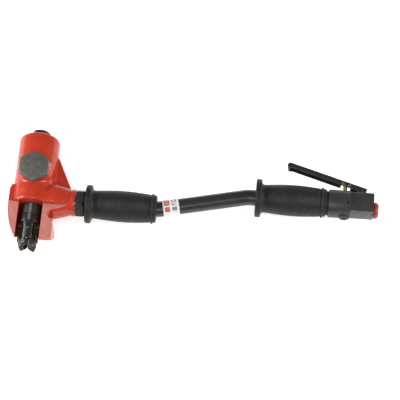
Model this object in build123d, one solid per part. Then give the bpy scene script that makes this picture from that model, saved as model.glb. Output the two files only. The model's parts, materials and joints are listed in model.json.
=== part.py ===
"""Pneumatic scabbling hammer, lying on the flat back of its head.

Frame: +X runs along the handle to the air inlet, +Y to the end cap, +Z up.
The origin is on the flat back of the head, under the crossing of the barrel and handle axes.
Lengths are in millimetres.
"""
from build123d import *
from math import atan2, cos, degrees, hypot, radians, sin
import os

# Frame and fits
AXIS_Z = 31.0            # height of the barrel and handle axes above the flat back
RUNNING_GAP = 0.05       # radial clearance of a shaft in its bore
SLIP_GAP = 0.3           # clearance between pieces that move past each other

# Head casting
BARREL_R = 33.0
BARREL_FRONT_Y = -12.0   # end face of the wall in front of the barrel
BARREL_TOP_Y = 108.0
BARREL_TOP_ROUND = 4.5
BORE_R = 17.6
BORE_TOP_Y = 84.0
GUARD_LEFT_X = -37.0
GUARD_RIGHT_X = 38.5
GUARD_WAIST_X = 33.5
GUARD_SHOULDER_Y = 18.0
GUARD_TIP_Y = -74.5
GUARD_HEIGHT = 49.5      # top of the guard's two side walls
UNDERCUT_Y = -51.0       # the flat back ends here, and the guard's nose slopes up from it
UNDERCUT_TOP_Z = 44.0
SLOT_R = 19.5
HORN_START_X = 14.0
HORN_WAIST_X = 36.0
HORN_END_X = 69.0
HORN_ROOT_R = 27.5
HORN_WAIST_R = 29.0
HORN_END_R = 20.6
GUSSET_THICKNESS = 9.0

# Valve chest on top of the barrel
CHEST_Y = 41.0
CHEST_BOSS_TOP_Z = 65.0
CHEST_FLOOR_Z = 51.0
CHEST_THREAD_R = 17.0
CHEST_SEAL_THICKNESS = 1.2
CHEST_PLUG_AF = 46.0
CHEST_PLUG_HEAD = 9.6
CHEST_SEAL_TOP_Z = CHEST_BOSS_TOP_Z + CHEST_SEAL_THICKNESS
CHEST_PLUG_TOP_Z = CHEST_SEAL_TOP_Z + CHEST_PLUG_HEAD
CHEST_PLUG_LOW_Z = 58.0
SEAT_TOP_Z = CHEST_FLOOR_Z + 3.0
PLATE_R = 12.0
PLATE_THICKNESS = 1.6

# Air passages in the head
AIR_START = (44.0, 0.0, AXIS_Z)
AIR_KNEE = (10.0, CHEST_Y - 5.0, CHEST_FLOOR_Z + 4.0)
FEED_START = (0.0, CHEST_Y + 8.0, CHEST_FLOOR_Z + 3.0)
FEED_END = (0.0, 74.0, AXIS_Z + 10.0)
FEED_R = 2.6

# End cap
END_CAP_THREAD_R = 12.0
END_CAP_AF = 27.0
END_CAP_HEAD = 12.0
END_CAP_SEAL_R = 14.0
END_CAP_SEAL_THICKNESS = 1.0

# Piston and bit
PISTON_R = BORE_R - 1.25 - RUNNING_GAP
PISTON_TOP_Y = 44.0
BIT_SHOULDER_Y = -30.0
BIT_SPIGOT_R = 8.5
BIT_SPIGOT_LENGTH = 18.0
STROKE_IN = 14.0         # piston travel back into the barrel from rest
STROKE_OUT = 10.0        # piston travel out of the barrel from rest
KEEPER_Y = 4.0
KEEPER_R = 3.0
RING_GROOVE_DEPTH = 1.5
RING_WIDTH = 2.5
RING_PLACES = (36.0, 24.0)
LINER_END_Y = BORE_TOP_Y - 0.5

# Each tier of cutting teeth: (shoulder, tip, radius, turn about the barrel axis)
BIT_COLLAR_R = 18.3
BIT_TIERS = (
    (-40.0, -58.0, 18.0, 0.0),
    (-52.0, -75.5, 16.8, 0.0),
    (-68.0, -87.0, 15.2, 45.0),
)
BIT_CORE_R = 11.5
TOOTH_WIDTH = 15.0
TOOTH_TIP_DROP = 6.5     # height of the sloping flanks of a tooth
TOOTH_ROOT_R = 8.0
TEETH_PER_TIER = 4

# Handle
LOCK_NUT_AF = 40.0
LOCK_NUT_START_X = 70.7
LOCK_NUT_END_X = 84.4
NIPPLE_R = 11.0
TUBE_R = 12.7
TUBE_WALL = 2.9
TUBE_START_X = 84.8
FIRST_BEND_X = 204.0
SECOND_BEND_X = 345.0
HANDLE_OFFSET_Y = 33.0   # the throttle end of the handle is this far towards the end cap
BEND_R = 40.0
GRIP_LENGTH = 114.0
GRIP_FLANGE_R = AXIS_Z
GRIP_FLANGE_LENGTH = 9.5
GRIP_NECK_R = 22.5
GRIP_BELLY_R = 25.3
GRIP_END_R = 22.8
FRONT_GRIP_X = 86.2
REAR_GRIP_X = 357.5
LABEL_START = 6.5        # from the first bend, along the tube
LABEL_WIDTH = 26.0
LABEL_THICKNESS = 0.4

# Throttle
THROTTLE_START_X = 475.0
THROTTLE_SHOULDER_X = 510.0
THROTTLE_END_X = 547.7
THROTTLE_R = 22.5
THROTTLE_FLATS = 33.0
TUBE_SOCKET_END_X = 488.0
VALVE_X = 501.0
VALVE_CHAMBER_R = 8.0
VALVE_SEAT_Y = 30.0
VALVE_SEAT_R = 5.5
PUSH_PIN_R = 3.2
PUSH_PIN_HOLE_Y = 38.0
GUIDE_BUSH_R = 5.6
POPPET_R = 7.2
POPPET_TOP_Y = VALVE_SEAT_Y - 1.2
POPPET_LOW_Y = POPPET_TOP_Y - 3.0
VALVE_PLUG_TOP_Y = 15.0
VALVE_PLUG_STAND = 2.2   # the valve plug's head stands out of the body this far
SPRING_WIRE_R = 0.55
SPRING_R = 4.6
SPRING_COILS = 4
SPRING_END_GAP = 0.15
PIVOT_X = 528.0
PIVOT_Y = 55.5
PIVOT_PIN_R = 2.0
LUG_THICKNESS = 11.4
INLET_Y = 26.0
INLET_THREAD_R = 7.48    # minor radius of a G 3/8 thread
INLET_THREAD_LENGTH = 14.0
INLET_BUSHING_R = 9.0
INLET_CAP_R = 13.4
SIDE_SCREW_R = 2.2
SIDE_SCREW_X = 506.0
SIDE_SCREW_Y = 27.0
SIDE_SCREW_LOW_Z = 42.0
SIDE_SCREW_TOP_Z = 51.8

# Lever, in its own directions: along from the pivot to the tip, and out from the handle
LEVER_ANGLE = 16.7
LEVER_LENGTH = 128.0
LEVER_WIDTH = 16.0
LEVER_SHEET = 1.8
LEVER_BACK = 6.5         # outer face of the web above the pivot axis
LEVER_CHEEK_LOW = -1.0   # lower edge of the cheeks
LEVER_EAR_R = 5.0
LEVER_NOTCH = 8.0        # cheeks are cut away this far each side of the push pin


def rod(radius, start, end):
    """A round bar from one point to another."""
    run = Vector(*end) - Vector(*start)
    bar = Cylinder(radius, run.length, align=(Align.CENTER, Align.CENTER, Align.MIN))
    return Plane(origin=start, z_dir=run) * bar


def turned(outline, origin, direction):
    """A solid turned about an axis. Outline points are (distance along the axis, radius)."""
    half = make_face(Polyline(*[(radius, along) for along, radius in outline], close=True))
    return Plane(origin=origin, z_dir=direction) * revolve(Plane.XZ * half, Axis.Z)


def sleeve(outer, inner, start, end):
    """A round tube from one point to another."""
    run = Vector(*end) - Vector(*start)
    wall = [(0, inner), (0, outer), (run.length, outer), (run.length, inner)]
    return turned(wall, start, run)


def hexagon_bar(across_flats, start, end, turn=0.0):
    """A hexagonal bar whose end corners are cut back by a cone, like a bolt head."""
    run = Vector(*end) - Vector(*start)
    outline = RegularPolygon(across_flats / 2, 6, major_radius=False, rotation=turn)
    bar = Plane(origin=start, z_dir=run) * extrude(outline, run.length)
    corner = across_flats / 3**0.5
    cone_drop = 0.13 * across_flats
    crown = [
        (0, 0), (0, corner + 1), (run.length - cone_drop / 2, corner + 1),
        (run.length, corner + 1 - cone_drop), (run.length, 0),
    ]
    return bar & turned(crown, start, run)


def block(low, high):
    """A rectangular block between two corners."""
    size = Vector(*high) - Vector(*low)
    centre = (Vector(*high) + Vector(*low)) * 0.5
    return Pos(*centre) * Box(size.X, size.Y, size.Z)


def plate(face, bottom, top):
    """A flat outline in X and Y raised between two heights."""
    return Pos(0, 0, bottom) * extrude(face, top - bottom)


def on_axis(y, z=AXIS_Z):
    """A point on the barrel axis."""
    return (0, y, z)


def at_handle(x, y=HANDLE_OFFSET_Y, z=AXIS_Z):
    """A point on the axis of the handle's throttle end."""
    return (x, y, z)


# ---------------------------------------------------------------- head

def guard_outline():
    """Plan of the guard around the bit, with a curved taper down its left side."""
    taper_start = (GUARD_LEFT_X, -14.0)
    taper_middle = (-33.0, -43.0)
    taper_end = (-22.5, -68.5)
    taper = ThreePointArc(taper_start, taper_middle, taper_end)
    rest = Polyline(
        taper_end, (-19.0, GUARD_TIP_Y), (GUARD_RIGHT_X - 5.0, GUARD_TIP_Y),
        (GUARD_RIGHT_X, GUARD_TIP_Y + 5.0), (GUARD_RIGHT_X, -45.0), (26.0, -31.5), (GUARD_WAIST_X, -20.0),
        (GUARD_WAIST_X, GUARD_SHOULDER_Y), (GUARD_LEFT_X + 3.0, GUARD_SHOULDER_Y),
        (GUARD_LEFT_X, GUARD_SHOULDER_Y - 8.0), taper_start,
    )
    return make_face(Wire([*taper.edges(), *rest.edges()]))


def nose_undercut():
    """Wedge taken from under the tip of the guard, so that the bit reaches the work first."""
    side = Plane.YZ * make_face(Polyline(
        (UNDERCUT_Y, 0), (GUARD_TIP_Y, UNDERCUT_TOP_Z), (GUARD_TIP_Y - 20, UNDERCUT_TOP_Z),
        (GUARD_TIP_Y - 20, -20), (UNDERCUT_Y, -20), close=True))
    return extrude(side, 80, both=True)


def gusset():
    """Web between the barrel and the handle horn."""
    outline = Polyline((20, 78), (31.5, 78), (35.5, 75), (61, 21), (20, 10), close=True)
    low = AXIS_Z - GUSSET_THICKNESS / 2
    return plate(make_face(outline), low, low + GUSSET_THICKNESS)


def horn():
    """Boss that carries the handle, tapering to a rounded rim."""
    outline = [
        (0, 0), (0, HORN_ROOT_R), (HORN_WAIST_X - HORN_START_X, HORN_WAIST_R),
        (HORN_END_X - HORN_START_X - 6, HORN_END_R), (HORN_END_X - HORN_START_X - 4.5, HORN_END_R + 1),
        (HORN_END_X - HORN_START_X - 1, HORN_END_R + 1), (HORN_END_X - HORN_START_X, HORN_END_R),
        (HORN_END_X - HORN_START_X, 0),
    ]
    return turned(outline, (HORN_START_X, 0, AXIS_Z), (1, 0, 0))


def chest_boss():
    """Raised seat for the hexagonal plug, with sloping sides."""
    outline = [
        (0, 0), (0, 30.5), (CHEST_BOSS_TOP_Z - AXIS_Z - 14, 29.5),
        (CHEST_BOSS_TOP_Z - AXIS_Z - 1, 23.2), (CHEST_BOSS_TOP_Z - AXIS_Z, 22.2),
        (CHEST_BOSS_TOP_Z - AXIS_Z, 0),
    ]
    return turned(outline, (0, CHEST_Y, AXIS_Z), (0, 0, 1))


def feed_passage():
    """Drilled passage from the valve chest to the top of the cylinder."""
    return rod(FEED_R, FEED_START, FEED_END)


def head_casting():
    barrel = rod(BARREL_R, on_axis(BARREL_FRONT_Y), on_axis(BARREL_TOP_Y))
    barrel = fillet(barrel.edges().group_by(Axis.Y)[-1], BARREL_TOP_ROUND)
    guard = plate(guard_outline(), 0, GUARD_HEIGHT)
    casting = barrel + guard + gusset() + horn() + chest_boss()
    slot = rod(SLOT_R, on_axis(-90), on_axis(BARREL_FRONT_Y))
    slot += block((-SLOT_R, -90, AXIS_Z), (SLOT_R, BARREL_FRONT_Y, 2 * BARREL_R + AXIS_Z))
    casting -= slot + nose_undercut()
    casting -= rod(BORE_R, on_axis(BARREL_FRONT_Y - 1), on_axis(BORE_TOP_Y))
    casting -= rod(END_CAP_THREAD_R + RUNNING_GAP, on_axis(BORE_TOP_Y - 1), on_axis(BARREL_TOP_Y + 1))
    casting -= rod(CHEST_THREAD_R + RUNNING_GAP, (0, CHEST_Y, CHEST_FLOOR_Z), (0, CHEST_Y, 90))
    casting -= rod(NIPPLE_R + RUNNING_GAP, (AIR_START[0], 0, AXIS_Z), (HORN_END_X + 1, 0, AXIS_Z))
    casting -= rod(FEED_R, AIR_START, AIR_KNEE)
    casting -= feed_passage()
    casting -= rod(KEEPER_R, keeper_point(-50), keeper_point(50))
    return casting & block((-60, -100, 0), (90, 120, 120))


def keeper_point(x):
    """A point on the line of the keeper pin, which crosses under the piston."""
    return (x, KEEPER_Y, AXIS_Z - PISTON_R - 1.0)


def end_cap():
    seat_y = BARREL_TOP_Y + END_CAP_SEAL_THICKNESS
    cap = hexagon_bar(END_CAP_AF, on_axis(seat_y), on_axis(seat_y + END_CAP_HEAD), turn=30)
    return cap + rod(END_CAP_THREAD_R, on_axis(BORE_TOP_Y + 4), on_axis(seat_y))


def end_cap_seal():
    return sleeve(
        END_CAP_SEAL_R, END_CAP_THREAD_R + RUNNING_GAP,
        on_axis(BARREL_TOP_Y), on_axis(BARREL_TOP_Y + END_CAP_SEAL_THICKNESS))


def valve_chest_plug():
    """Large hexagonal plug, its corners pointing along the barrel."""
    head = hexagon_bar(
        CHEST_PLUG_AF, (0, CHEST_Y, CHEST_SEAL_TOP_Z), (0, CHEST_Y, CHEST_PLUG_TOP_Z), turn=30)
    shank = rod(CHEST_THREAD_R, (0, CHEST_Y, CHEST_PLUG_LOW_Z), (0, CHEST_Y, CHEST_SEAL_TOP_Z))
    lightening = rod(9.0, (0, CHEST_Y, CHEST_PLUG_LOW_Z - 1), (0, CHEST_Y, CHEST_PLUG_LOW_Z + 2))
    return head + shank - lightening


def plug_seal():
    return sleeve(
        20.5, CHEST_THREAD_R + RUNNING_GAP,
        (0, CHEST_Y, CHEST_BOSS_TOP_Z), (0, CHEST_Y, CHEST_SEAL_TOP_Z))


def valve_seat():
    """Ported disc under the valve plate."""
    seat = rod(CHEST_THREAD_R - 0.2, (0, CHEST_Y, CHEST_FLOOR_Z), (0, CHEST_Y, SEAT_TOP_Z))
    seat -= rod(FEED_R, (0, CHEST_Y + 8, CHEST_FLOOR_Z - 1), (0, CHEST_Y + 8, SEAT_TOP_Z + 1))
    seat -= rod(FEED_R, AIR_START, AIR_KNEE)
    return seat - feed_passage()


def valve_plate():
    """Loose disc that flutters between its seat and the plug."""
    low = SEAT_TOP_Z + SLIP_GAP
    return rod(PLATE_R, (0, CHEST_Y, low), (0, CHEST_Y, low + PLATE_THICKNESS))


def cylinder_liner():
    """Thin hardened sleeve in which the piston runs."""
    liner = sleeve(BORE_R, PISTON_R + RUNNING_GAP, on_axis(BARREL_FRONT_Y + 0.5), on_axis(LINER_END_Y))
    liner -= feed_passage()
    return liner - rod(KEEPER_R + 0.2, keeper_point(-50), keeper_point(50))


def keeper_pin():
    """Pin that holds the piston in the head, running in the piston's flat."""
    return rod(KEEPER_R, keeper_point(GUARD_LEFT_X + 0.5), keeper_point(33.0))


def piston():
    """Piston and shank in one piece, with a flat for the keeper pin and a spigot for the bit."""
    body = rod(PISTON_R, on_axis(BIT_SHOULDER_Y), on_axis(PISTON_TOP_Y))
    body = chamfer(body.edges().group_by(Axis.Y)[-1], 1.0)
    for ring_y in RING_PLACES:
        body -= sleeve(
            PISTON_R + 1, PISTON_R - RING_GROOVE_DEPTH, on_axis(ring_y), on_axis(ring_y + RING_WIDTH))
    flat_low = KEEPER_Y - KEEPER_R - STROKE_IN - SLIP_GAP
    flat_high = KEEPER_Y + KEEPER_R + STROKE_OUT + SLIP_GAP
    flat_top = AXIS_Z - PISTON_R - 1.0 + KEEPER_R + SLIP_GAP
    body -= block((-20, flat_low, 0), (20, flat_high, flat_top))
    return body + rod(BIT_SPIGOT_R, on_axis(BIT_SHOULDER_Y - BIT_SPIGOT_LENGTH), on_axis(BIT_SHOULDER_Y))


def piston_ring(ring_y):
    return sleeve(
        PISTON_R + RUNNING_GAP / 2, PISTON_R - RING_GROOVE_DEPTH + 0.1,
        on_axis(ring_y + 0.1), on_axis(ring_y + RING_WIDTH - 0.1))


# ---------------------------------------------------------------- bit

def tooth(shoulder, tip, radius, turn):
    """One tooth of a tier: a rib with a two-sided point, standing out from the core."""
    half = TOOTH_WIDTH / 2
    outline = make_face(Polyline(
        (-half, shoulder), (half, shoulder), (half, tip + TOOTH_TIP_DROP), (0, tip),
        (-half, tip + TOOTH_TIP_DROP), close=True))
    blank = plate(outline, AXIS_Z + TOOTH_ROOT_R, AXIS_Z + radius + 3)
    blank = blank & rod(radius, on_axis(shoulder + 1), on_axis(tip - 1))
    return blank.rotate(Axis(on_axis(0), (0, 1, 0)), turn)


def scabbling_bit():
    """Stepped steel head with three tiers of pointed teeth."""
    collar = rod(BIT_COLLAR_R, on_axis(BIT_SHOULDER_Y), on_axis(-46))
    bit = chamfer(collar.edges().group_by(Axis.Y)[0], 1.0)
    bit += rod(BIT_CORE_R, on_axis(-45), on_axis(BIT_TIERS[-1][1] + TOOTH_TIP_DROP + 2))
    for shoulder, tip, radius, first_turn in BIT_TIERS:
        for number in range(TEETH_PER_TIER):
            bit += tooth(shoulder, tip, radius, first_turn + number * 360 / TEETH_PER_TIER)
    socket_end = BIT_SHOULDER_Y - BIT_SPIGOT_LENGTH - 1
    return bit - rod(BIT_SPIGOT_R + 0.02, on_axis(socket_end), on_axis(BIT_SHOULDER_Y + 1))


# ---------------------------------------------------------------- handle

def lock_nut():
    nut = hexagon_bar(
        LOCK_NUT_AF, (LOCK_NUT_START_X, 0, AXIS_Z), (LOCK_NUT_END_X, 0, AXIS_Z), turn=30)
    return nut - rod(
        NIPPLE_R + RUNNING_GAP, (LOCK_NUT_START_X - 1, 0, AXIS_Z), (LOCK_NUT_END_X + 1, 0, AXIS_Z))


def tube_adapter():
    """Threaded nipple on the end of the tube."""
    return sleeve(NIPPLE_R, 6.0, (AIR_START[0] + 4, 0, AXIS_Z), (TUBE_START_X, 0, AXIS_Z))


def tube_route():
    return FilletPolyline(
        (TUBE_START_X, 0, AXIS_Z), (FIRST_BEND_X, 0, AXIS_Z), at_handle(SECOND_BEND_X),
        at_handle(TUBE_SOCKET_END_X), radius=BEND_R)


def handle_tube():
    route = tube_route()
    start = Plane(origin=(TUBE_START_X, 0, AXIS_Z), z_dir=(1, 0, 0))
    outside = sweep(start * Circle(TUBE_R), path=route)
    inside = sweep(start * Circle(TUBE_R - TUBE_WALL), path=route)
    return outside - inside


def grip(start_x, y):
    """Rubber grip with a hand flange at the head end and a bead at the other end."""
    end = GRIP_LENGTH
    outline = [
        (0, TUBE_R), (0, GRIP_FLANGE_R - 2), (2, GRIP_FLANGE_R), (GRIP_FLANGE_LENGTH - 2, GRIP_FLANGE_R),
        (GRIP_FLANGE_LENGTH, GRIP_FLANGE_R - 2), (GRIP_FLANGE_LENGTH, GRIP_NECK_R + 0.5),
        (GRIP_FLANGE_LENGTH + 8, GRIP_NECK_R), (end * 0.32, GRIP_BELLY_R - 0.5),
        (end * 0.5, GRIP_BELLY_R), (end * 0.68, GRIP_BELLY_R - 0.7), (end - 9, GRIP_END_R),
        (end - 8, GRIP_END_R + 1.5), (end - 5, GRIP_END_R + 1.5), (end - 4, GRIP_END_R),
        (end - 1.5, GRIP_END_R - 0.3), (end, GRIP_END_R - 2), (end, TUBE_R),
    ]
    return turned(outline, (start_x, y, AXIS_Z), (1, 0, 0))


def label_band():
    """Printed band wrapped round the sloping run of tube."""
    run = Vector(SECOND_BEND_X - FIRST_BEND_X, HANDLE_OFFSET_Y, 0).normalized()
    start = Vector(FIRST_BEND_X, 0, AXIS_Z) + run * LABEL_START
    end = start + run * LABEL_WIDTH
    return sleeve(TUBE_R + LABEL_THICKNESS, TUBE_R, tuple(start), tuple(end))


def spacer_ring():
    grip_end = REAR_GRIP_X + GRIP_LENGTH
    return sleeve(19.5, TUBE_R, at_handle(grip_end), at_handle(THROTTLE_START_X))


# ---------------------------------------------------------------- throttle

def throttle_body():
    chamfer_depth = 1.0
    outline = [
        (0, 0), (0, THROTTLE_R - chamfer_depth), (chamfer_depth, THROTTLE_R),
        (THROTTLE_END_X - THROTTLE_START_X - chamfer_depth, THROTTLE_R),
        (THROTTLE_END_X - THROTTLE_START_X, THROTTLE_R - chamfer_depth),
        (THROTTLE_END_X - THROTTLE_START_X, 0),
    ]
    body = turned(outline, at_handle(THROTTLE_START_X), (1, 0, 0))
    half = THROTTLE_FLATS / 2
    square = block(
        (THROTTLE_SHOULDER_X, HANDLE_OFFSET_Y - half, AXIS_Z - half),
        (THROTTLE_END_X + 1, HANDLE_OFFSET_Y + half, AXIS_Z + half))
    round_part = block((THROTTLE_START_X - 1, -30, -30), (THROTTLE_SHOULDER_X, 90, 90))
    body = body & (square + round_part)
    body += pivot_lug()
    body -= rod(TUBE_R, at_handle(THROTTLE_START_X - 1), at_handle(TUBE_SOCKET_END_X + 0.5))
    body -= rod(5.0, at_handle(TUBE_SOCKET_END_X, VALVE_SEAT_Y + 4), at_handle(VALVE_X, VALVE_SEAT_Y + 4))
    body -= rod(VALVE_CHAMBER_R, at_handle(VALVE_X, 0), at_handle(VALVE_X, VALVE_SEAT_Y))
    body -= rod(VALVE_SEAT_R, at_handle(VALVE_X, VALVE_SEAT_Y - 1), at_handle(VALVE_X, PUSH_PIN_HOLE_Y))
    body -= rod(GUIDE_BUSH_R, at_handle(VALVE_X, PUSH_PIN_HOLE_Y), at_handle(VALVE_X, 70))
    body -= rod(
        INLET_BUSHING_R, at_handle(THROTTLE_END_X - INLET_THREAD_LENGTH, INLET_Y),
        at_handle(THROTTLE_END_X + 1, INLET_Y))
    body -= rod(
        5.5, at_handle(VALVE_X, INLET_Y - 3), at_handle(THROTTLE_END_X, INLET_Y - 3))
    return body - rod(SIDE_SCREW_R, side_screw_point(SIDE_SCREW_LOW_Z), side_screw_point(70))


def side_screw_point(z):
    return (SIDE_SCREW_X, SIDE_SCREW_Y, z)


def pivot_lug():
    """Ear on the flat of the throttle body that carries the lever."""
    base = HANDLE_OFFSET_Y + THROTTLE_FLATS / 2 - 1
    outline = Polyline(
        (PIVOT_X - 6, base), (PIVOT_X - 4, PIVOT_Y), (PIVOT_X + 4, PIVOT_Y), (PIVOT_X + 6, base), close=True)
    low = AXIS_Z - LUG_THICKNESS / 2
    lug = plate(make_face(outline), low, low + LUG_THICKNESS)
    lug += rod(4.0, (PIVOT_X, PIVOT_Y, low), (PIVOT_X, PIVOT_Y, low + LUG_THICKNESS))
    return lug - rod(PIVOT_PIN_R, (PIVOT_X, PIVOT_Y, 0), (PIVOT_X, PIVOT_Y, 70))


def lever_plane():
    """Plane of the lever's side: its X runs to the tip and its Y runs away from the handle."""
    angle = radians(LEVER_ANGLE)
    return Plane(
        origin=(PIVOT_X, PIVOT_Y, AXIS_Z), x_dir=(-cos(angle), sin(angle), 0), z_dir=(0, 0, -1))


def lever_side():
    """Side view of the lever: ear, cheek and rounded tip."""
    tip_r = 4.6
    under_web = LEVER_BACK - LEVER_SHEET
    outline = make_face(Polyline(
        (-6.5, LEVER_BACK), (LEVER_LENGTH - tip_r, LEVER_BACK), (LEVER_LENGTH - tip_r, LEVER_CHEEK_LOW),
        (14, LEVER_CHEEK_LOW), (3.5, -LEVER_EAR_R + 1), (-6.5, -1), close=True))
    outline += Circle(LEVER_EAR_R)
    tip_centre = LEVER_BACK - tip_r
    outline += Pos(LEVER_LENGTH - tip_r, tip_centre) * Circle(tip_r)
    pin_along = push_pin_reach() / cos(radians(LEVER_ANGLE))
    notch = Pos(pin_along, under_web - 6) * Rectangle(2 * LEVER_NOTCH, 12)
    return outline - notch


def push_pin_reach():
    """Distance along the handle from the lever pivot to the push pin."""
    return PIVOT_X - VALVE_X


def throttle_lever():
    side = lever_plane() * extrude(lever_side(), LEVER_WIDTH / 2, both=True)
    hollow = Pos(LEVER_LENGTH / 2 - 8, (LEVER_BACK - LEVER_SHEET) - 10) * Rectangle(LEVER_LENGTH + 6, 20)
    channel = lever_plane() * extrude(hollow, LEVER_WIDTH / 2 - LEVER_SHEET, both=True)
    lever = side - channel
    return lever - rod(PIVOT_PIN_R + RUNNING_GAP, (PIVOT_X, PIVOT_Y, 0), (PIVOT_X, PIVOT_Y, 70))


def lever_pivot_pin():
    reach = LEVER_WIDTH / 2 + 1.0
    return rod(PIVOT_PIN_R, (PIVOT_X, PIVOT_Y, AXIS_Z - reach), (PIVOT_X, PIVOT_Y, AXIS_Z + reach))


def web_height_over_pin():
    """Height of the lever web's underside over the push pin, with the lever at rest."""
    angle = radians(LEVER_ANGLE)
    under_web = LEVER_BACK - LEVER_SHEET
    along = (push_pin_reach() + under_web * sin(angle)) / cos(angle)
    return PIVOT_Y + along * sin(angle) + under_web * cos(angle)


def push_pin():
    """Brass pin between the lever and the throttle valve, with a rounded head."""
    head_y = web_height_over_pin() - SLIP_GAP - PUSH_PIN_R * sin(radians(LEVER_ANGLE))
    pin = rod(PUSH_PIN_R, at_handle(VALVE_X, POPPET_TOP_Y + 1.0), at_handle(VALVE_X, head_y))
    return fillet(pin.edges().group_by(Axis.Y)[-1], 1.8)


def push_pin_bush():
    body_top = HANDLE_OFFSET_Y + THROTTLE_R
    return sleeve(
        GUIDE_BUSH_R, PUSH_PIN_R + RUNNING_GAP,
        at_handle(VALVE_X, PUSH_PIN_HOLE_Y + 1), at_handle(VALVE_X, body_top + 0.4))


def throttle_poppet():
    """Valve disc with a collar that takes the end of the push pin."""
    poppet = rod(POPPET_R, at_handle(VALVE_X, POPPET_LOW_Y), at_handle(VALVE_X, POPPET_TOP_Y))
    poppet += rod(PUSH_PIN_R + 0.8, at_handle(VALVE_X, POPPET_TOP_Y), at_handle(VALVE_X, POPPET_TOP_Y + 1))
    return poppet + rod(3.0, at_handle(VALVE_X, POPPET_LOW_Y - 2.5), at_handle(VALVE_X, POPPET_LOW_Y))


def throttle_seal():
    return sleeve(
        7.0, PUSH_PIN_R + 1.2, at_handle(VALVE_X, POPPET_TOP_Y), at_handle(VALVE_X, VALVE_SEAT_Y - SLIP_GAP))


def throttle_spring():
    """Coil spring under the poppet."""
    length = POPPET_LOW_Y - VALVE_PLUG_TOP_Y - 2 * SPRING_WIRE_R - 2 * SPRING_END_GAP
    coil = Helix(pitch=length / SPRING_COILS, height=length, radius=SPRING_R)
    section = Plane(origin=coil @ 0, z_dir=coil % 0) * Circle(SPRING_WIRE_R)
    spring = sweep(section, path=coil)
    start = at_handle(VALVE_X, VALVE_PLUG_TOP_Y + SPRING_WIRE_R + SPRING_END_GAP)
    return Plane(origin=start, z_dir=(0, 1, 0)) * spring


def valve_bottom_plug():
    """Screwed plug that closes the valve chamber, with a driving socket."""
    surface = HANDLE_OFFSET_Y - THROTTLE_R
    plug = rod(VALVE_CHAMBER_R, at_handle(VALVE_X, surface), at_handle(VALVE_X, VALVE_PLUG_TOP_Y))
    plug += rod(VALVE_CHAMBER_R, at_handle(VALVE_X, surface - VALVE_PLUG_STAND), at_handle(VALVE_X, surface))
    plug -= Plane(origin=at_handle(VALVE_X, surface - VALVE_PLUG_STAND), z_dir=(0, 1, 0)) * extrude(
        RegularPolygon(2.5, 6, major_radius=False), 3.0)
    return chamfer(plug.edges().group_by(Axis.Y)[0].sort_by(SortBy.LENGTH)[-1], 0.8)


def side_screw():
    """Grub screw that closes a drilling on top of the throttle body."""
    screw = rod(SIDE_SCREW_R, side_screw_point(SIDE_SCREW_LOW_Z), side_screw_point(SIDE_SCREW_TOP_Z))
    hexagon = RegularPolygon(1.0, 6, major_radius=False)
    socket = Pos(*side_screw_point(SIDE_SCREW_TOP_Z - 1.5)) * extrude(hexagon, 2)
    return screw - socket


def inlet_bushing():
    """Threaded steel bushing in the end of the throttle body."""
    inner_x = THROTTLE_END_X - INLET_THREAD_LENGTH
    return sleeve(
        INLET_BUSHING_R, INLET_THREAD_R, at_handle(inner_x, INLET_Y), at_handle(THROTTLE_END_X, INLET_Y))


def inlet_cap():
    """Push-on dust cap over the face of the inlet."""
    face_gap = 0.3
    dome = [(0, 0), (0, INLET_CAP_R), (4.5, INLET_CAP_R - 0.6), (7.2, INLET_CAP_R - 3.6), (8.3, 0)]
    return turned(dome, at_handle(THROTTLE_END_X + face_gap, INLET_Y), (1, 0, 0))


def write(name, solid):
    solid.label = name
    export_step(solid, f"parts/{name}.step")


SINGLE_PIECES = (
    head_casting, end_cap, end_cap_seal, valve_chest_plug, plug_seal, valve_seat, valve_plate,
    cylinder_liner, keeper_pin, piston, scabbling_bit, lock_nut, tube_adapter, handle_tube, label_band,
    spacer_ring, throttle_body, throttle_lever, lever_pivot_pin, push_pin, push_pin_bush,
    throttle_poppet, throttle_seal, throttle_spring, valve_bottom_plug, side_screw, inlet_bushing,
    inlet_cap,
)

os.makedirs("parts", exist_ok=True)
for piece in SINGLE_PIECES:
    write(piece.__name__, piece())
for number, ring_y in enumerate(RING_PLACES, start=1):
    write(f"piston_ring_{number}", piston_ring(ring_y))
write("front_grip", grip(FRONT_GRIP_X, 0))
write("rear_grip", grip(REAR_GRIP_X, HANDLE_OFFSET_Y))
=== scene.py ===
# %% [markdown]
# # A pneumatic scabbling hammer
# The tool lies on the flat back of its head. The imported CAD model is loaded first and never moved:
# it gives every size and place. The cells below only add what the eye wants to see, such as cast
# corners, rubber ribs, paint and worn steel.

# %% Load the frame
import json
import math

import bmesh
import bpy
from mathutils import Matrix, Vector


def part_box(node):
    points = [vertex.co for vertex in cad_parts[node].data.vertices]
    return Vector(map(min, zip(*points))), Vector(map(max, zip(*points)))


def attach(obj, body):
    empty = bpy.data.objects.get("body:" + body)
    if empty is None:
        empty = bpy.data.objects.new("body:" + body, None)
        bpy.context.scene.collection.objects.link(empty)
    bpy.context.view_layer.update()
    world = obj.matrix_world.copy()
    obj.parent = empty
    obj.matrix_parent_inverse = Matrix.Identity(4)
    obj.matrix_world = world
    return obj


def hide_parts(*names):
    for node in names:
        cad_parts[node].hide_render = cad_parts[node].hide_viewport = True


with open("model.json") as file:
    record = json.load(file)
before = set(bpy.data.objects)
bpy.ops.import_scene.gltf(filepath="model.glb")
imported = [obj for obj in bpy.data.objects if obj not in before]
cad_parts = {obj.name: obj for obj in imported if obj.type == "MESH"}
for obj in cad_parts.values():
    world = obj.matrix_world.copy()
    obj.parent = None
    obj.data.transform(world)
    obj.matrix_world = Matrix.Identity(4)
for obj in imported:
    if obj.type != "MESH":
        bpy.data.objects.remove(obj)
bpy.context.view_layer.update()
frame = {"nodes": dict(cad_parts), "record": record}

NODES = frame["nodes"]

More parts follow.
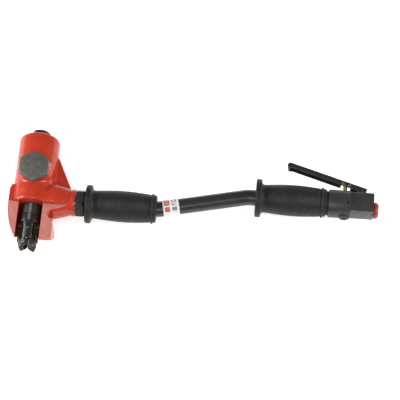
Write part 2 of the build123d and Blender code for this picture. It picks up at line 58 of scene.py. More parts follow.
# %% [markdown]
# ## Camera and stage
# The camera looks down on the tool from the side of the bit. It is made before anything else, so
# that every later step can be judged in the same view.

# %% Camera
MM = 0.001
TARGET = Vector((268.7, 22.0, 31.0)) * MM
AZIMUTH = math.radians(4.7)
ELEVATION = math.radians(65.0)
DISTANCE = 3.0
LENS = 167.5

away = Vector((
    math.sin(AZIMUTH) * math.cos(ELEVATION),
    -math.cos(AZIMUTH) * math.cos(ELEVATION),
    math.sin(ELEVATION),
))
camera_data = bpy.data.cameras.new("camera")
camera_data.lens = LENS
camera = bpy.data.objects.new("camera", camera_data)
camera.rotation_mode = "QUATERNION"
camera.rotation_quaternion = (-away).to_track_quat("-Z", "Y")
camera.location = TARGET + away * DISTANCE
bpy.context.scene.collection.objects.link(camera)
bpy.context.scene.camera = camera
print("camera at", [round(c, 3) for c in camera.location])

# %% [markdown]
# ## Floor and lights
# The tool lies on a pale lit table. Two soft boxes stand low on the left and the right, so that the
# round parts get a bright line along each side, and a weaker one in front lifts the milled faces.

# %% Floor and lights
FLOOR_SIZE = 8.0
FLOOR_DROP = 0.0002
FLOOR_GLOW = 0.62         # a lit table, so that shadows stay faint


def make_floor():
    """A pale sheet just under the lowest point of the tool."""
    mesh = bpy.data.meshes.new("floor")
    shape = bmesh.new()
    bmesh.ops.create_grid(shape, x_segments=1, y_segments=1, size=FLOOR_SIZE / 2)
    bmesh.ops.translate(shape, verts=shape.verts, vec=(0, 0, -FLOOR_DROP))
    shape.to_mesh(mesh)
    shape.free()
    floor = bpy.data.objects.new("floor", mesh)
    bpy.context.scene.collection.objects.link(floor)
    paper = bpy.data.materials.new("pale paper")
    paper.use_nodes = True
    shader = paper.node_tree.nodes["Principled BSDF"]
    shader.inputs["Base Color"].default_value = (0.88, 0.87, 0.865, 1)
    shader.inputs["Roughness"].default_value = 0.9
    shader.inputs["Specular IOR Level"].default_value = 0.1
    shader.inputs["Emission Color"].default_value = (1.0, 0.985, 0.975, 1)
    shader.inputs["Emission Strength"].default_value = FLOOR_GLOW
    mesh.materials.append(paper)


def area_light(name, place, aim, size, power):
    """A square soft box that shines from a place towards a point."""
    data = bpy.data.lights.new(name, "AREA")
    data.shape = "SQUARE"
    data.size = size
    data.energy = power
    light = bpy.data.objects.new(name, data)
    light.location = place
    light.rotation_mode = "QUATERNION"
    light.rotation_quaternion = (Vector(place) - Vector(aim)).to_track_quat("Z", "Y")
    bpy.context.scene.collection.objects.link(light)
    return light


# Each soft box: (name, place, size, power)
SOFT_BOXES = (
    ("left", (-1.3, 0.0, 0.75), 0.9, 24),
    ("right", (1.9, -0.1, 0.8), 0.9, 24),
    ("front", (0.1, -1.1, 1.7), 1.1, 10),
)
ROOM_LIGHT = 0.36

make_floor()
for name, place, size, power in SOFT_BOXES:
    area_light(name, place, TARGET, size, power)

world = bpy.data.worlds.new("studio")
world.use_nodes = True
world.node_tree.nodes["Background"].inputs["Color"].default_value = (1.0, 0.99, 0.98, 1)
world.node_tree.nodes["Background"].inputs["Strength"].default_value = ROOM_LIGHT
bpy.context.scene.world = world
bpy.context.scene.view_settings.view_transform = "Standard"
print("stage set with", len(SOFT_BOXES), "soft boxes")

# %% [markdown]
# ## Helpers for shapes
# Every new piece starts as a bmesh in millimetres, because the tool is measured in millimetres. The
# object helper scales it to metres. Round pieces are spun from half an outline,
# which is how they are turned on a lathe, and flat ones are an outline raised to a thickness.

# %% Shape helpers
AXIS_Z = 31.0
SMOOTH_LIMIT = math.radians(32)


def box_mm(node):
    """A CAD node's box in millimetres."""
    low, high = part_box(node)
    return low / MM, high / MM


def facing(origin, direction):
    """A matrix that puts local Z along a direction and the local origin at a point."""
    turn = Vector(direction).to_track_quat("Z", "Y").to_matrix().to_4x4()
    return Matrix.Translation(Vector(origin)) @ turn


def spun(outline, origin, direction, steps=96):
    """A closed turned shape. Outline points are (distance along the axis, radius)."""
    shape = bmesh.new()
    rim = [shape.verts.new((radius, 0, along)) for along, radius in outline]
    edges = [shape.edges.new(pair) for pair in zip(rim, rim[1:] + rim[:1])]
    bmesh.ops.spin(
        shape, geom=rim + edges, cent=(0, 0, 0), axis=(0, 0, 1), angle=math.tau, steps=steps,
        use_merge=True)
    bmesh.ops.remove_doubles(shape, verts=shape.verts, dist=1e-4)
    bmesh.ops.recalc_face_normals(shape, faces=shape.faces)
    bmesh.ops.transform(shape, matrix=facing(origin, direction), verts=shape.verts)
    return shape


def arc(along, radius, size, start, end, steps=6):
    """Points of an arc for an outline, about a centre (along, radius). Angles are in degrees."""
    turns = [math.radians(start + (end - start) * step / steps) for step in range(steps + 1)]
    return [(along + size * math.cos(turn), radius + size * math.sin(turn)) for turn in turns]


def raised(outline, bottom, top):
    """A flat outline of (x, y) points, raised from one height to another."""
    shape = bmesh.new()
    base = shape.faces.new([shape.verts.new((x, y, bottom)) for x, y in outline])
    side = bmesh.ops.extrude_face_region(shape, geom=[base])
    lifted = [part for part in side["geom"] if isinstance(part, bmesh.types.BMVert)]
    bmesh.ops.translate(shape, verts=lifted, vec=(0, 0, top - bottom))
    bmesh.ops.recalc_face_normals(shape, faces=shape.faces)
    return shape


def brick(low, high):
    """A block between two corners."""
    shape = bmesh.new()
    bmesh.ops.create_cube(shape, size=1)
    size = Vector(high) - Vector(low)
    bmesh.ops.scale(shape, verts=shape.verts, vec=size)
    bmesh.ops.translate(shape, verts=shape.verts, vec=(Vector(high) + Vector(low)) / 2)
    return shape


def bar(radius, start, end, steps=96):
    """A plain round bar between two points."""
    run = Vector(end) - Vector(start)
    return spun([(0, 0), (0, radius), (run.length, radius), (run.length, 0)], start, run, steps)


def joined(shapes):
    """Several shapes in one bmesh, each still a shell of its own."""
    whole = bmesh.new()
    for shape in shapes:
        store = bpy.data.meshes.new("store")
        shape.to_mesh(store)
        shape.free()
        whole.from_mesh(store)
        bpy.data.meshes.remove(store)
    return whole


def loose_object(name, shape):
    """An object made from a bmesh, in metres, at the origin."""
    bmesh.ops.scale(shape, verts=shape.verts, vec=(MM, MM, MM))
    mesh = bpy.data.meshes.new(name)
    shape.to_mesh(mesh)
    shape.free()
    made = bpy.data.objects.new(name, mesh)
    bpy.context.scene.collection.objects.link(made)
    return made


def bake_modifiers(made):
    """Applies an object's modifiers to its mesh."""
    graph = bpy.context.evaluated_depsgraph_get()
    graph.update()
    result = bpy.data.meshes.new_from_object(made.evaluated_get(graph))
    made.modifiers.clear()
    made.data = result
    return made


def cut(made, cutters):
    """Takes closed shapes away from an object, as a milling cutter would."""
    for number, shape in enumerate(cutters):
        tool = loose_object(f"cutter_{number}", shape)
        knife = made.modifiers.new("cut", "BOOLEAN")
        knife.operation = "DIFFERENCE"
        knife.solver = "MANIFOLD"
        knife.object = tool
        bake_modifiers(made)
        bpy.data.objects.remove(tool)
    return made


def shade(made, limit=SMOOTH_LIMIT):
    """Smooth shading, with edges left sharp where two faces meet at more than the limit."""
    shape = bmesh.new()
    shape.from_mesh(made.data)
    for face in shape.faces:
        face.smooth = True
    for edge in shape.edges:
        edge.smooth = edge.calc_face_angle(math.pi) < limit
    shape.to_mesh(made.data)
    shape.free()
    return made

# %% [markdown]
# ## Finishes
# No surface of a used tool has one colour. Each finish below mixes two close colours in patches,
# varies its roughness with the same patches, carries a fine grain in its bump, and may show a paler
# line along its edges: rubbed wear on most finishes, and a painted highlight on the bit. Patterns
# read Object coordinates, which are metres on this tool, so a grain size given in millimetres is
# true to scale on every piece.

# %% Nodes that the finishes share
def start_finish(name):
    """A material and its shader."""
    material = bpy.data.materials.new(name)
    material.use_nodes = True
    return material, material.node_tree, material.node_tree.nodes["Principled BSDF"]


def patches(tree, size, detail=3.0, roughness=0.55, place=None):
    """Cloudy patches of about a size in millimetres, from 0 to 1."""
    cloud = tree.nodes.new("ShaderNodeTexNoise")
    cloud.inputs["Scale"].default_value = 1 / (size * MM)
    cloud.inputs["Detail"].default_value = detail
    cloud.inputs["Roughness"].default_value = roughness
    if place is None:
        place = tree.nodes.new("ShaderNodeTexCoord").outputs["Object"]
    tree.links.new(place, cloud.inputs["Vector"])
    return cloud.outputs["Fac"]


def spread(tree, value, low, high, out_low=0.0, out_high=1.0):
    """Stretches a value's range, with the ends cut off."""
    scale = tree.nodes.new("ShaderNodeMapRange")
    for name, number in (("From Min", low), ("From Max", high), ("To Min", out_low), ("To Max", out_high)):
        scale.inputs[name].default_value = number
    tree.links.new(value, scale.inputs["Value"])
    return scale.outputs["Result"]


def blended(tree, amount, first, second):
    """Mixes two colours, each a triple or another node's output."""
    mix = tree.nodes.new("ShaderNodeMix")
    mix.data_type = "RGBA"
    tree.links.new(amount, mix.inputs[0])
    for socket, colour in ((mix.inputs[6], first), (mix.inputs[7], second)):
        if isinstance(colour, tuple):
            socket.default_value = (*colour, 1)
        else:
            tree.links.new(colour, socket)
    return mix.outputs[2]


def combined(tree, first, second, operation="MULTIPLY"):
    """Two values worked into one, multiplied unless another operation is named."""
    step = tree.nodes.new("ShaderNodeMath")
    step.operation = operation
    for socket, value in zip(step.inputs, (first, second)):
        if isinstance(value, (int, float)):
            socket.default_value = value
        else:
            tree.links.new(value, socket)
    return step.outputs["Value"]


def relief(tree, height, depth, under=None):
    """Bump from a height of 0 to 1, with a depth in millimetres."""
    bump = tree.nodes.new("ShaderNodeBump")
    bump.inputs["Strength"].default_value = 1.0
    bump.inputs["Distance"].default_value = depth * MM
    tree.links.new(height, bump.inputs["Height"])
    if under is not None:
        tree.links.new(under, bump.inputs["Normal"])
    return bump.outputs["Normal"]


def edges_worn_and_highlighted(tree, radius, low=0.02, high=0.22):
    """1 along edges and 0 on open faces: the rounded normal is compared with the true one."""
    rounded = tree.nodes.new("ShaderNodeBevel")
    rounded.samples = 6
    rounded.inputs["Radius"].default_value = radius * MM
    true = tree.nodes.new("ShaderNodeNewGeometry")
    compare = tree.nodes.new("ShaderNodeVectorMath")
    compare.operation = "DOT_PRODUCT"
    tree.links.new(rounded.outputs["Normal"], compare.inputs[0])
    tree.links.new(true.outputs["Normal"], compare.inputs[1])
    return spread(tree, compare.outputs["Value"], 1 - low, 1 - high)


def finish(name, colour, patch, size, shine, metal=0.0, grain=None, coat=0.0, edge=None, gloss=0.5):
    """A finish in two colours. Shine is a range of roughness, and grain is (size, depth) in mm.

    Edge is (colour, radius in mm, strength) for a paler edge: wear, but a painted highlight on the bit.
    """
    material, tree, shader = start_finish(name)
    cloud = spread(tree, patches(tree, size), 0.3, 0.7)
    tone = blended(tree, cloud, colour, patch)
    rough = spread(tree, patches(tree, size * 0.6), 0.3, 0.7, *shine)
    if edge:
        edge_colour, radius, strength = edge
        broken = spread(tree, patches(tree, 2.2, 4.0), 0.35, 0.6)
        mask = combined(tree, combined(tree, edges_worn_and_highlighted(tree, radius), broken), strength)
        tone = blended(tree, mask, tone, edge_colour)
    tree.links.new(tone, shader.inputs["Base Color"])
    tree.links.new(rough, shader.inputs["Roughness"])
    shader.inputs["Metallic"].default_value = metal
    shader.inputs["Specular IOR Level"].default_value = gloss
    shader.inputs["Coat Weight"].default_value = coat
    shader.inputs["Coat Roughness"].default_value = 0.08
    if grain:
        grain_size, depth = grain
        tree.links.new(relief(tree, patches(tree, grain_size, 2.0), depth), shader.inputs["Normal"])
    return material


# %% [markdown]
# ## Red enamel, blackened steel and rubber
# The head is enamelled over rough iron, so its gloss is broken by a soft orange peel and its colour
# deepens in patches. The steel parts are blackened or phosphated, and show bare metal on their edges,
# except the bit, whose tan edge colour is a painted highlight.

# %% Make the finishes
FINISHES = {
    "red_enamel": finish(
        "red enamel", (0.52, 0.036, 0.009), (0.42, 0.025, 0.007), 22, (0.18, 0.32),
        grain=(2.4, 0.05), coat=0.12, gloss=0.4, edge=((0.62, 0.12, 0.07), 0.9, 0.45)),
    # The milled guard faces take a paler, pinker red than the enamel.
    "guard_paint": finish(
        "paler paint on the milled guard", (0.52, 0.185, 0.145), (0.46, 0.13, 0.10), 9, (0.42, 0.62),
        grain=(1.2, 0.03), edge=((0.55, 0.30, 0.24), 0.8, 0.6)),
    "black_steel": finish(
        "blackened steel", (0.018, 0.018, 0.017), (0.034, 0.032, 0.029), 6, (0.38, 0.6),
        metal=0.25, grain=(0.9, 0.03), edge=((0.16, 0.15, 0.14), 0.5, 0.6)),
    "bright_steel": finish(
        "bright steel", (0.50, 0.50, 0.49), (0.40, 0.40, 0.39), 5, (0.2, 0.36),
        metal=1.0, grain=(0.5, 0.01)),
    "cast_ring": finish(
        "grey iron rings", (0.2, 0.2, 0.2), (0.14, 0.14, 0.14), 4, (0.35, 0.5),
        metal=0.9, grain=(0.7, 0.02)),
    # The tan edge colour of the bit is a painted highlight along its ridges.
    "bit_steel": finish(
        "forged bit steel with painted highlights", (0.008, 0.008, 0.0078), (0.020, 0.019, 0.017), 5, (0.24, 0.46),
        metal=0.3, grain=(1.1, 0.06), edge=((0.34, 0.29, 0.19), 0.75, 0.95)),
    "tube_enamel": finish(
        "black tube enamel", (0.011, 0.011, 0.011), (0.018, 0.017, 0.016), 14, (0.26, 0.40),
        grain=(1.6, 0.02), coat=0.15),
    "grip_rubber": finish(
        "grip rubber", (0.0095, 0.009, 0.0085), (0.0165, 0.0155, 0.0145), 12, (0.42, 0.6),
        grain=(0.6, 0.05), gloss=0.3),
    "seal_rubber": finish(
        "seal rubber", (0.012, 0.012, 0.012), (0.02, 0.019, 0.018), 5, (0.5, 0.7),
        grain=(0.7, 0.03), gloss=0.35),
    "body_black": finish(
        "satin black body", (0.020, 0.020, 0.0195), (0.032, 0.032, 0.030), 10, (0.30, 0.46),
        metal=0.1, grain=(0.7, 0.02), edge=((0.16, 0.16, 0.155), 0.5, 0.5)),
    "lever_enamel": finish(
        "gloss black lever", (0.008, 0.008, 0.008), (0.014, 0.013, 0.013), 12, (0.24, 0.40),
        grain=(1.4, 0.015), coat=0.1, edge=((0.10, 0.10, 0.10), 0.4, 0.4)),
    "hard_metal": finish(
        "brazed hard metal", (0.30, 0.26, 0.18), (0.20, 0.165, 0.11), 3, (0.3, 0.5),
        metal=0.6, grain=(0.6, 0.03)),
    "brass": finish(
        "turned brass", (0.64, 0.45, 0.16), (0.52, 0.36, 0.12), 3, (0.2, 0.34),
        metal=1.0, grain=(0.5, 0.01)),
    "cap_red": finish(
        "red cap plastic", (0.30, 0.018, 0.013), (0.24, 0.013, 0.010), 5, (0.32, 0.46), grain=(0.9, 0.03)),
}
print(len(FINISHES), "finishes so far")

# %% [markdown]
# ## The phosphated plug
# The big plug is machined, then dipped in hot phosphate. That leaves a matt grey crystal coat, with
# brown stains where it dried and fine rings on its face from the lathe. Rings about the plug's own
# axis come from a wave texture on coordinates that a Mapping node centres on the plug.

# %% Phosphate
def centred_place(tree, centre, turn=0.0):
    """Object coordinates measured from a centre in metres and turned about Z."""
    place = tree.nodes.new("ShaderNodeTexCoord").outputs["Object"]
    mapping = tree.nodes.new("ShaderNodeMapping")
    mapping.vector_type = "TEXTURE"
    mapping.inputs["Location"].default_value = centre
    mapping.inputs["Rotation"].default_value = (0, 0, turn)
    tree.links.new(place, mapping.inputs["Vector"])
    return mapping.outputs["Vector"]


def phosphate(centre):
    material, tree, shader = start_finish("phosphated steel")
    grey = blended(
        tree, spread(tree, patches(tree, 7, 5.0), 0.35, 0.68), (0.125, 0.128, 0.112), (0.085, 0.085, 0.076))
    stain = spread(tree, patches(tree, 11, 6.0, 0.65), 0.52, 0.68, 0.0, 0.55)
    tone = blended(tree, stain, grey, (0.115, 0.088, 0.062))
    rub = combined(tree, edges_worn_and_highlighted(tree, 0.8), 0.55)
    tone = blended(tree, rub, tone, (0.36, 0.34, 0.30))
    tree.links.new(tone, shader.inputs["Base Color"])
    tree.links.new(
        spread(tree, patches(tree, 4, 4.0), 0.3, 0.7, 0.42, 0.66), shader.inputs["Roughness"])
    shader.inputs["Metallic"].default_value = 0.35
    rings = tree.nodes.new("ShaderNodeTexWave")
    rings.wave_type = "RINGS"
    rings.rings_direction = "Z"
    rings.inputs["Scale"].default_value = 260
    rings.inputs["Distortion"].default_value = 0.4
    tree.links.new(centred_place(tree, centre), rings.inputs["Vector"])
    crystals = relief(tree, patches(tree, 0.9, 3.0), 0.05)
    tree.links.new(relief(tree, rings.outputs["Fac"], 0.012, crystals), shader.inputs["Normal"])
    return material


plug_low, plug_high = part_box("valve_chest_plug")
plug_centre = (plug_low + plug_high) / 2
FINISHES["phosphate_steel"] = phosphate(plug_centre)
print("phosphate centred on", [round(c, 3) for c in plug_centre])

# %% [markdown]
# ## The printed band
# A film label is wrapped round the tube where it slopes. Its print is generic: a red block and a few
# grey bars. Each block is a pair of limits along the tube and a pair across it, so it needs no picture.

# %% Label print
def between(tree, value, low, high):
    """1 where a value lies between two limits in millimetres."""
    above = combined(tree, value, low * MM, "GREATER_THAN")
    below = combined(tree, value, high * MM, "LESS_THAN")
    return combined(tree, above, below)


LABEL_BLOCKS = (
    ((-10.5, -2.0), (-1.5, 10.5), (0.52, 0.075, 0.05)),
    ((-9.0, -3.5), (1.5, 2.6), (0.80, 0.70, 0.66)),
    ((-9.0, -3.5), (5.5, 6.6), (0.80, 0.70, 0.66)),
    ((-10.5, -2.0), (-10.5, -4.0), (0.52, 0.10, 0.07)),
    ((1.5, 9.5), (4.5, 9.5), (0.16, 0.16, 0.165)),
    ((3.5, 7.5), (5.8, 8.2), (0.78, 0.77, 0.76)),
    ((1.5, 9.5), (-2.5, 2.0), (0.22, 0.22, 0.23)),
    ((3.5, 9.5), (-1.2, 0.7), (0.78, 0.77, 0.76)),
    ((1.5, 9.5), (-9.5, -5.0), (0.18, 0.18, 0.19)),
)


def label_print(centre, turn):
    material, tree, shader = start_finish("printed film")
    place = centred_place(tree, centre, turn)
    split = tree.nodes.new("ShaderNodeSeparateXYZ")
    tree.links.new(place, split.inputs["Vector"])
    tone = blended(
        tree, spread(tree, patches(tree, 6, 4.0), 0.35, 0.7), (0.80, 0.79, 0.78), (0.66, 0.65, 0.63))
    for along, across, ink in LABEL_BLOCKS:
        block = combined(
            tree, between(tree, split.outputs["X"], *along), between(tree, split.outputs["Y"], *across))
        tone = blended(tree, block, tone, ink)
    tree.links.new(tone, shader.inputs["Base Color"])
    tree.links.new(spread(tree, patches(tree, 5), 0.3, 0.7, 0.28, 0.42), shader.inputs["Roughness"])
    tree.links.new(relief(tree, patches(tree, 2.5, 2.0), 0.02), shader.inputs["Normal"])
    return material


label_low, label_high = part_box("label_band")
front_low, front_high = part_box("front_grip")
label_centre = (label_low + label_high) / 2
tube_turn = math.atan2(label_centre.y, label_centre.x - front_high.x - 0.004)
FINISHES["label_print"] = label_print(label_centre, tube_turn)
print("the label slopes by", round(math.degrees(tube_turn), 1), "degrees")

# %% [markdown]
# ## Painted highlight along the bit
# A narrow band of lighter grey is painted along the top of the shank and the collar. It is a painted
# highlight that stands for the bright streak a light draws along the glossy round steel. It has no
# geometry: a mask in the bit's own coordinates turns the black steel a lighter grey inside the band.

# %% Painted highlight
PAINTED_HIGHLIGHT_WIDTH = 4.6
PAINTED_HIGHLIGHT_START_Y = -42.5
PAINTED_HIGHLIGHT_END_Y = -12.5
PAINTED_HIGHLIGHT_GAP_START_Y = -30.8
PAINTED_HIGHLIGHT_GAP_END_Y = -29.4
PAINTED_HIGHLIGHT_LOW = 12             # the band lies on the upper side only, this far above the axis
PAINTED_HIGHLIGHT_HIGH = 30
PAINTED_HIGHLIGHT_GREY = (0.17, 0.17, 0.165)
PAINTED_HIGHLIGHT_STRENGTH = 0.85


def add_painted_highlight(material):
    """Adds the painted highlight band to a finish of the bit or of the shank behind it."""
    tree = material.node_tree
    shader = tree.nodes["Principled BSDF"]
    split = tree.nodes.new("ShaderNodeSeparateXYZ")
    tree.links.new(tree.nodes.new("ShaderNodeTexCoord").outputs["Object"], split.inputs["Vector"])
    across = between(tree, split.outputs["X"], -PAINTED_HIGHLIGHT_WIDTH / 2, PAINTED_HIGHLIGHT_WIDTH / 2)
    front = between(tree, split.outputs["Y"], PAINTED_HIGHLIGHT_START_Y, PAINTED_HIGHLIGHT_GAP_START_Y)
    back = between(tree, split.outputs["Y"], PAINTED_HIGHLIGHT_GAP_END_Y, PAINTED_HIGHLIGHT_END_Y)
    top = between(tree, split.outputs["Z"], AXIS_Z + PAINTED_HIGHLIGHT_LOW, AXIS_Z + PAINTED_HIGHLIGHT_HIGH)
    along = combined(tree, front, back, "ADD")
    mask = combined(tree, combined(tree, combined(tree, across, along), top), PAINTED_HIGHLIGHT_STRENGTH)
    tone = shader.inputs["Base Color"].links[0].from_socket
    tree.links.new(blended(tree, mask, tone, PAINTED_HIGHLIGHT_GREY), shader.inputs["Base Color"])
    return material


# The bit and the piston shank both get the painted highlight band along their top.
add_painted_highlight(FINISHES["bit_steel"])
FINISHES["ground_shank"] = add_painted_highlight(FINISHES["black_steel"].copy())
FINISHES["ground_shank"].name = "blackened steel with a painted highlight"
print("painted highlight added to the bit and the piston shank")

# %% [markdown]
# ## Paint every carried-over node
# The record says which finish each CAD node takes. Nodes that stay in view keep their own mesh and
# take the finish of their slot, and so do the hidden inner ones, so that nothing is left plain.

# %% Paint the nodes
SLOT_OF = {part["node"]: part["material_slot"] for part in frame["record"]["subparts"]}
BODY_OF = {
    node: body for body, nodes in frame["record"]["behaviour"]["bodies"].items() for node in nodes}
for node, thing in NODES.items():
    thing.data.materials.clear()
    thing.data.materials.append(FINISHES[SLOT_OF[node]])
# The piston's shank takes the copy of blackened steel that carries the painted highlight band.
NODES["piston"].data.materials[0] = FINISHES["ground_shank"]
print(len(NODES), "nodes painted")

# %% [markdown]
# ## Pieces that follow a node
# A finished piece hangs on the same body as the node it stands for, and takes that node's slot. Most
# machined parts need only one thing that the CAD leaves out, which is the small bevel that every real
# edge has. A copy of the node is merged, its flat faces are made whole, and its sharp edges bevelled.

# %% Helpers for finished pieces
def settle(made, *nodes):
    """Hangs a piece on the body of the nodes that it stands for, and paints it like the first."""
    made.data.materials.clear()
    made.data.materials.append(FINISHES[SLOT_OF[nodes[0]]])
    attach(made, BODY_OF[nodes[0]])
    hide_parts(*nodes)
    print(made.name, "has", len(made.data.polygons), "faces")
    return made


def softened(node, width, segments=2, limit=30):
    """A copy of a node, with bevels of a width in millimetres on its sharp edges."""
    shape = bmesh.new()
    shape.from_mesh(NODES[node].data)
    bmesh.ops.remove_doubles(shape, verts=shape.verts, dist=0.002 * MM)
    bmesh.ops.dissolve_limit(
        shape, angle_limit=math.radians(0.6), verts=shape.verts, edges=shape.edges)
    if width:
        sharp = [
            edge for edge in shape.edges
            if len(edge.link_faces) == 2 and edge.calc_face_angle() > math.radians(limit)]
        bmesh.ops.bevel(
            shape, geom=sharp, offset=width * MM, segments=segments, profile=0.5, affect="EDGES",
            clamp_overlap=True, material=-1)
    mesh = bpy.data.meshes.new(node + "_part")
    shape.to_mesh(mesh)
    shape.free()
    made = bpy.data.objects.new(node + "_part", mesh)
    bpy.context.scene.collection.objects.link(made)
    return settle(shade(made), node)


# %% [markdown]
# ## The cast head
# The real head is an iron casting: soft corners where the mould was rounded, and crisp edges where a
# cutter faced it off. Modelling the fillets one by one is slow, so the raw shapes are joined, remeshed
# with small voxels and smoothed, which rounds every inside and outside corner alike. Only then are the
# machined faces and bores cut, so that their edges stay crisp.

# %% Raw shapes of the head
head_low, head_high = box_mm("head_casting")
plug_low_mm, plug_high_mm = box_mm("valve_chest_plug")
chest_y = (plug_low_mm.y + plug_high_mm.y) / 2
BARREL_R = 33.0
BARREL_ROUND = 5.5
BARREL_FOOT_ROUND = 2.5
GUARD_RIGHT_X = 38.5
GUARD_WAIST_X = 33.5
GUARD_BACK_Y = 18.0
HORN_START_X = 14
WEB_HALF = 4.5
WALL_Y = -12.0
GUARD_TOP = 49.5
MILLING_STOCK = 6.0
VOXEL = 1.1
SMOOTH_ROUNDS = 9


def raw_barrel():
    length = head_high.y - WALL_Y
    foot = BARREL_R - BARREL_FOOT_ROUND
    crown = arc(length - BARREL_ROUND, BARREL_R - BARREL_ROUND, BARREL_ROUND, 90, 0)
    outline = [(0, 0), (0, foot)] + arc(BARREL_FOOT_ROUND, foot, BARREL_FOOT_ROUND, 180, 90) + crown
    return spun(outline + [(length, 0)], (0, WALL_Y, AXIS_Z), (0, 1, 0))


def guard_plan(back):
    """The guard's outline, from its tip back to a line across the barrel."""
    left, right, waist, tip = head_low.x, GUARD_RIGHT_X, GUARD_WAIST_X, head_low.y
    return [
        (left, -14), (left + 0.9, -24), (left + 2.4, -34), (left + 4.4, -44), (left + 7.4, -54),
        (left + 11, -62), (left + 15, -69), (left + 19.5, tip), (right - 5, tip), (right, tip + 5),
        (right, -45), (26, -31.5), (waist, -20), (waist, back), (left + 3, back), (left, back - 8),
    ]


def raw_guard():
    low_part = raised(guard_plan(GUARD_BACK_Y), 0, GUARD_TOP)
    stock = raised(guard_plan(WALL_Y + 0.5)[1:-1], GUARD_TOP - 4, GUARD_TOP + MILLING_STOCK)
    return [low_part, stock]


def raw_horn():
    outline = [
        (0, 0), (0, 27.5), (22, 29), (36, 25.2), (49, 20.6), (50.5, 21.6), (53, 21.9), (60, 21.9), (60, 0)]
    return spun(outline, (HORN_START_X, 0, AXIS_Z), (1, 0, 0))


def raw_boss():
    outline = [(0, 0), (0, 30.5), (20, 29.5), (33, 23.6), (37, 23.0), (37, 0)]
    return spun(outline, (0, chest_y, AXIS_Z), (0, 0, 1))


def raw_gusset():
    corners = [(20, 78), (31.5, 78), (35.5, 75), (61, 21), (20, 10)]
    return raised(corners, AXIS_Z - WEB_HALF, AXIS_Z + WEB_HALF)


head = loose_object(
    "head_part", joined([raw_barrel(), *raw_guard(), raw_horn(), raw_boss(), raw_gusset()]))
print("raw head:", len(head.data.polygons), "faces in six closed shells")

# %% [markdown]
# The voxel remesh welds the overlapping shells into one skin. Smoothing then pulls that skin tight
# over the corners, by about as much as sand and enamel would round them.

# %% Round the casting
remesh = head.modifiers.new("voxels", "REMESH")
remesh.mode = "VOXEL"
remesh.voxel_size = VOXEL * MM
smoothing = head.modifiers.new("smoothing", "SMOOTH")
smoothing.factor = 0.5
smoothing.iterations = SMOOTH_ROUNDS
bake_modifiers(head)
print("rounded casting:", len(head.data.polygons), "faces")

# %% [markdown]
# ## Machine the casting
# Each cutter is a closed shape, taken away with the Manifold solver, which is quick and exact on
# closed meshes. The order is the shop's own: flat back, milled guard, slot, bores, and the seats.

# %% Cut the machined faces
SLOT_R = 19.5
BORE_R = 17.6
CAP_HOLE_R = 12.2
CHEST_HOLE_R = 17.2
NIPPLE_HOLE_R = 11.2
PIN_HOLE_R = 3.05
pin_low, pin_high = box_mm("keeper_pin")
pin_middle = (pin_low + pin_high) / 2
UNDERCUT_Y = -51.0
UNDERCUT_TOP = 44.0


def nose_wedge():
    """The wedge under the tip of the guard, lying along X."""
    back = head_low.y - 20
    outline = [
        (UNDERCUT_Y, -0.2), (head_low.y, UNDERCUT_TOP), (back, UNDERCUT_TOP), (back, -20), (UNDERCUT_Y, -20)]
    shape = raised(outline, -80, 80)
    lying = Matrix(((0, 0, 1, 0), (1, 0, 0, 0), (0, 1, 0, 0), (0, 0, 0, 1)))
    bmesh.ops.transform(shape, matrix=lying, verts=shape.verts)
    return shape


cutters = [
    brick((-90, -130, -40), (120, 150, 0.02)),
    nose_wedge(),
    brick((-60, -120, GUARD_TOP), (60, WALL_Y - 0.3, 90)),
    bar(SLOT_R, (0, -120, AXIS_Z), (0, WALL_Y, AXIS_Z)),
    brick((-SLOT_R, -120, AXIS_Z), (SLOT_R, WALL_Y - 0.4, 90)),
    bar(BORE_R, (0, -40, AXIS_Z), (0, 84, AXIS_Z)),
    bar(CAP_HOLE_R, (0, 80, AXIS_Z), (0, 130, AXIS_Z)),
    brick((-60, 10, head_high.z), (60, 90, 90)),
    bar(CHEST_HOLE_R, (0, chest_y, 51), (0, chest_y, 90)),
    brick((head_high.x, -60, -10), (120, 60, 80)),
    bar(NIPPLE_HOLE_R, (44, 0, AXIS_Z), (90, 0, AXIS_Z)),
    bar(PIN_HOLE_R, (-60, pin_middle.y, pin_middle.z), (60, pin_middle.y, pin_middle.z), 32),
]
cut(head, cutters)
shade(head)
settle(head, "head_casting")

# %% [markdown]
# The milled top of the guard takes a second material, a paler and pinker red than the enamel. Its
# faces are the ones that look straight up at the guard's height.

# %% Paint the milled faces
head.data.materials.append(FINISHES["guard_paint"])
milled = 0
for face in head.data.polygons:
    place = face.center / MM
    if face.normal.z > 0.98 and abs(place.z - GUARD_TOP) < 0.3 and place.y < WALL_Y + 1:
        face.material_index = 1
        milled += 1
print(milled, "milled faces")

# %% [markdown]
# ## Rubber grips
# Each grip is one rubber moulding: a hand flange with soft edges, a fillet into a slim neck, a belly
# that fills the palm, fine ribs for hold, and a bead where the mould ends. It is a turned shape, so
# one outline is spun, with the ribs as steps in that outline.

# %% Grips
TUBE_R = 12.7
FLANGE_R = 31.0
FLANGE_LENGTH = 9.5
FLANGE_EDGE = 2.6
NECK_R = 22.6
BELLY = 2.7
RIB_START = 19.0
RIB_END = 102.0
RIB_PITCH = 2.6
RIB_DEPTH = 0.32


def belly_radius(along):
    """The smooth radius of the grip between its neck and its bead."""
    return NECK_R + BELLY * math.sin(math.pi * (along - 14) / 91)


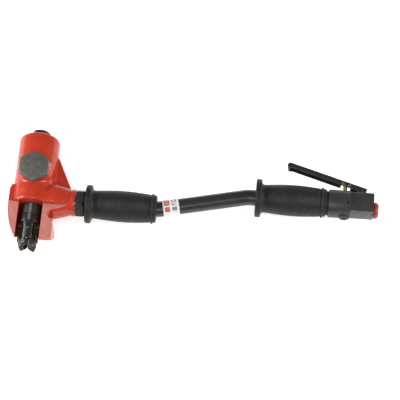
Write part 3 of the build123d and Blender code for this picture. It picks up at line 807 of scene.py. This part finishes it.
def grip_outline(length):
    outline = [(0, TUBE_R)]
    outline += arc(FLANGE_EDGE, FLANGE_R - FLANGE_EDGE, FLANGE_EDGE, 180, 90)
    outline += arc(FLANGE_LENGTH - FLANGE_EDGE, FLANGE_R - FLANGE_EDGE, FLANGE_EDGE, 90, 0)
    outline += arc(FLANGE_LENGTH + 4.5, NECK_R + 4.5, 4.5, 180, 270)
    along = RIB_START
    while along < RIB_END:
        radius = belly_radius(along)
        outline += [
            (along, radius - RIB_DEPTH), (along + 0.35, radius), (along + RIB_PITCH - 0.9, radius),
            (along + RIB_PITCH - 0.55, radius - RIB_DEPTH)]
        along += RIB_PITCH
    outline += arc(length - 6.5, NECK_R - 0.3, 2.1, 180, 0)
    outline += arc(length - 2.0, NECK_R - 2.3, 2.0, 90, 0)
    return outline + [(length, TUBE_R)]


for node in ("front_grip", "rear_grip"):
    low, high = box_mm(node)
    centre_y = (low.y + high.y) / 2
    shape = spun(grip_outline(high.x - low.x), (low.x, centre_y, AXIS_Z), (1, 0, 0), 128)
    settle(shade(loose_object(node + "_part", shape), math.radians(50)), node)

# %% [markdown]
# ## Machined and pressed parts
# The nuts, plugs, body, bit and lever keep their CAD shapes and gain bevels. The widths follow the
# real parts: broad on forged steel, fine on turned parts, and a rolled edge on the pressed lever.

# %% Bevel the machined parts
BEVELS = {
    "valve_chest_plug": 0.7, "end_cap": 0.6, "lock_nut": 0.5, "throttle_body": 0.5,
    "throttle_lever": 0.45, "scabbling_bit": 0.45, "valve_bottom_plug": 0.3, "spacer_ring": 0.3,
    "push_pin_bush": 0.25, "lever_pivot_pin": 0.4, "push_pin": 0.0, "handle_tube": 0.0,
    "label_band": 0.0, "end_cap_seal": 0.2, "plug_seal": 0.2, "tube_adapter": 0.3,
}
for node, width in BEVELS.items():
    softened(node, width)

# %% [markdown]
# ## Hard metal edges of the bit
# Each tooth carries a brazed strip of hard metal along its two-sided point, which shows as a tan line
# on the black steel. The teeth of a tier repeat round the barrel axis, so one strip is raised from a
# chevron outline and bent to the round of the bit, then copied by quarter turns.

# %% Chevron strips
STRIP_WIDTH = 2.0
STRIP_DEPTH = 2.2
STRIP_STAND = 0.25
# Each tier of teeth: (tip, outer radius, half width, turn in degrees)
TIERS = ((-58.0, 18.0, 7.5, 0.0), (-75.5, 16.8, 7.5, 0.0), (-87.0, 15.2, 7.5, 45.0))
TOOTH_DROP = 6.5


def chevron_strip(tip, radius, half, turn):
    """One strip: a chevron seen from outside, bent to the round of the bit by its height."""
    outline = [
        (-half, tip + TOOTH_DROP), (0, tip), (half, tip + TOOTH_DROP),
        (half, tip + TOOTH_DROP + STRIP_WIDTH), (0, tip + STRIP_WIDTH),
        (-half, tip + TOOTH_DROP + STRIP_WIDTH)]
    shape = raised(outline, 0, STRIP_DEPTH)
    for vert in shape.verts:
        vert.co.z += math.sqrt((radius + STRIP_STAND) ** 2 - vert.co.x ** 2) - STRIP_DEPTH
    spin_turn = Matrix.Rotation(math.radians(turn), 4, "Y")
    bmesh.ops.transform(
        shape, matrix=Matrix.Translation((0, 0, AXIS_Z)) @ spin_turn, verts=shape.verts)
    return shape


strips = []
for tip, radius, half, first_turn in TIERS:
    strips += [chevron_strip(tip, radius, half, first_turn + 90 * quarter) for quarter in range(4)]
inserts = loose_object("bit_hard_edges", joined(strips))
inserts.data.materials.append(FINISHES["hard_metal"])
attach(inserts, BODY_OF["scabbling_bit"])
print(len(strips), "strips on the bit")

# %% [markdown]
# ## Dust cap
# The cap on the air inlet is a soft plastic button with a rolled rim and a shallow dish in its face,
# pushed on by hand. It is spun from one outline with arcs at the rim.

# %% Dust cap
cap_low, cap_high = box_mm("inlet_cap")
cap_r = (cap_high.y - cap_low.y) / 2
cap_long = cap_high.x - cap_low.x
cap_centre_y = (cap_low.y + cap_high.y) / 2
cap_outline = [(0, 0), (0, cap_r - 0.8)] + arc(1.2, cap_r - 1.2, 1.2, 180, 90)
cap_outline += arc(cap_long - 6.0, cap_r - 6.2, 6.0, 85, 25)
cap_outline += [(cap_long - 0.5, cap_r - 7.0), (cap_long - 1.2, cap_r - 8.2), (cap_long - 1.2, 0)]
cap = loose_object("dust_cap_part", spun(cap_outline, (cap_low.x, cap_centre_y, AXIS_Z), (1, 0, 0)))
settle(shade(cap), "inlet_cap")
